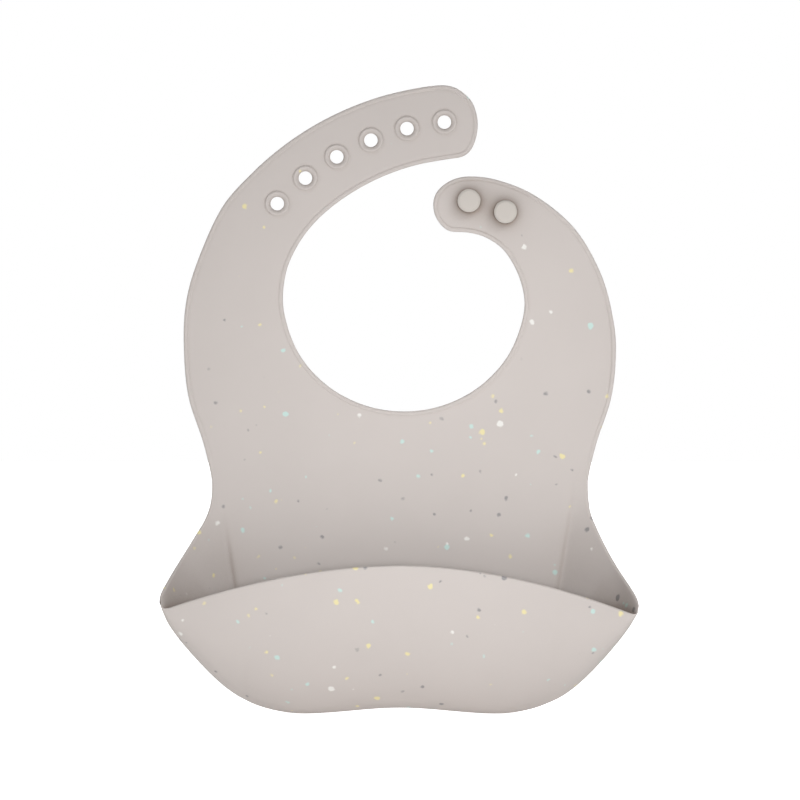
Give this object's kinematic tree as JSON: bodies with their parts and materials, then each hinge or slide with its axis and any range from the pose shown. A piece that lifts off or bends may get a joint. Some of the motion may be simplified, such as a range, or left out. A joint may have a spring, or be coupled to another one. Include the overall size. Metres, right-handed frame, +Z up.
{
  "type": "silicone bib",
  "caption": "Soft silicone baby bib: a moulded sheet with a neck ring that buttons behind, and a scoop pocket along the bottom.",
  "frame": {"origin": "centre of the neck opening, in the sheet's middle plane", "axes": "+Z up from the pocket towards the straps, -Y the front that faces away from the wearer, +X towards the short strap"},
  "size_m": [0.23, 0.0466, 0.3073],
  "materials": {
    "silicone": "matte warm grey with fine coloured flecks",
    "silicone_edge": "matte warm grey, moulded bead",
    "silicone_button": "matte warm grey, moulded button"
  },
  "bodies": {
    "chest": {"chest_panel": "silicone", "neckline_bead": "silicone_edge", "side_bead_left": "silicone_edge", "side_bead_right": "silicone_edge"},
    "apron": {"apron_panel": "silicone"},
    "pocket": {"pocket_floor": "silicone", "pocket_front": "silicone", "pocket_rim": "silicone_edge"},
    "gusset_left": {"gusset_left": "silicone", "gusset_bead_left": "silicone_edge"},
    "gusset_right": {"gusset_right": "silicone", "gusset_bead_right": "silicone_edge"},
    "long_root": {"long_strap_root": "silicone", "long_root_bead": "silicone_edge"},
    "long_mid": {"long_strap_mid": "silicone", "long_mid_bead": "silicone_edge", "hole_rim_4": "silicone_edge", "hole_rim_5": "silicone_edge", "hole_rim_6": "silicone_edge"},
    "long_tip": {"long_strap_tip": "silicone", "long_tip_bead": "silicone_edge", "hole_rim_1": "silicone_edge", "hole_rim_2": "silicone_edge", "hole_rim_3": "silicone_edge"},
    "short_root": {"short_strap_root": "silicone", "short_root_bead": "silicone_edge"},
    "short_tip": {"short_strap_tip": "silicone", "short_tip_bead": "silicone_edge", "button_stem_1": "silicone_button", "button_head_1": "silicone_button", "button_stem_2": "silicone_button", "button_head_2": "silicone_button"}
  },
  "joints": [
    {"name": "waist_fold", "type": "hinge", "parent": "chest", "child": "apron", "pos_m": [-0.002, -0.0013, -0.094], "axis": [-1, 0, 0], "range_deg": [-12, 95], "stiffness_Nm_per_rad": 0.6},
    {"name": "pocket_press", "type": "hinge", "parent": "apron", "child": "pocket", "pos_m": [-0.002, -0.0013, -0.191], "axis": [-1, 0, 0], "range_deg": [-10, 20], "stiffness_Nm_per_rad": 0.6},
    {"name": "gusset_left_fold", "type": "hinge", "parent": "apron", "child": "gusset_left", "pos_m": [-0.078, -0.0013, -0.191], "axis": [0.1509, 0, -0.9886], "range_deg": [-15, 29], "stiffness_Nm_per_rad": 0.05},
    {"name": "gusset_right_fold", "type": "hinge", "parent": "apron", "child": "gusset_right", "pos_m": [0.074, -0.0013, -0.191], "axis": [0.1509, 0, 0.9886], "range_deg": [-15, 29], "stiffness_Nm_per_rad": 0.05},
    {"name": "long_shoulder_bend", "type": "hinge", "parent": "chest", "child": "long_root", "pos_m": [-0.084, 0.0013, 0], "axis": [-1, 0, 0], "range_deg": [-12, 75], "stiffness_Nm_per_rad": 0.2},
    {"name": "long_mid_bend", "type": "hinge", "parent": "long_root", "child": "long_mid", "pos_m": [-0.07039, 0.0013, 0.03706], "axis": [-0.7833, 0, 0.6217], "range_deg": [-9, 53], "stiffness_Nm_per_rad": 0.12},
    {"name": "long_tip_bend", "type": "hinge", "parent": "long_mid", "child": "long_tip", "pos_m": [-0.02485, 0.0013, 0.07365], "axis": [-0.4383, 0, 0.8989], "range_deg": [-8, 46], "stiffness_Nm_per_rad": 0.06},
    {"name": "short_shoulder_bend", "type": "hinge", "parent": "chest", "child": "short_root", "pos_m": [0.081, 0.0013, 0], "axis": [-1, 0, 0], "range_deg": [-12, 75], "stiffness_Nm_per_rad": 0.15},
    {"name": "short_tip_bend", "type": "hinge", "parent": "short_root", "child": "short_tip", "pos_m": [0.06395, 0.0013, 0.02847], "axis": [-0.9135, 0, -0.4067], "range_deg": [-9, 53], "stiffness_Nm_per_rad": 0.06}
  ],
  "couplings": [
    {"joint": "gusset_left_fold", "follows": "pocket_press", "ratio": 1.4},
    {"joint": "gusset_right_fold", "follows": "pocket_press", "ratio": 1.4},
    {"joint": "long_mid_bend", "follows": "long_shoulder_bend", "ratio": 0.7},
    {"joint": "long_tip_bend", "follows": "long_shoulder_bend", "ratio": 0.6},
    {"joint": "short_tip_bend", "follows": "short_shoulder_bend", "ratio": 0.7}
  ]
}
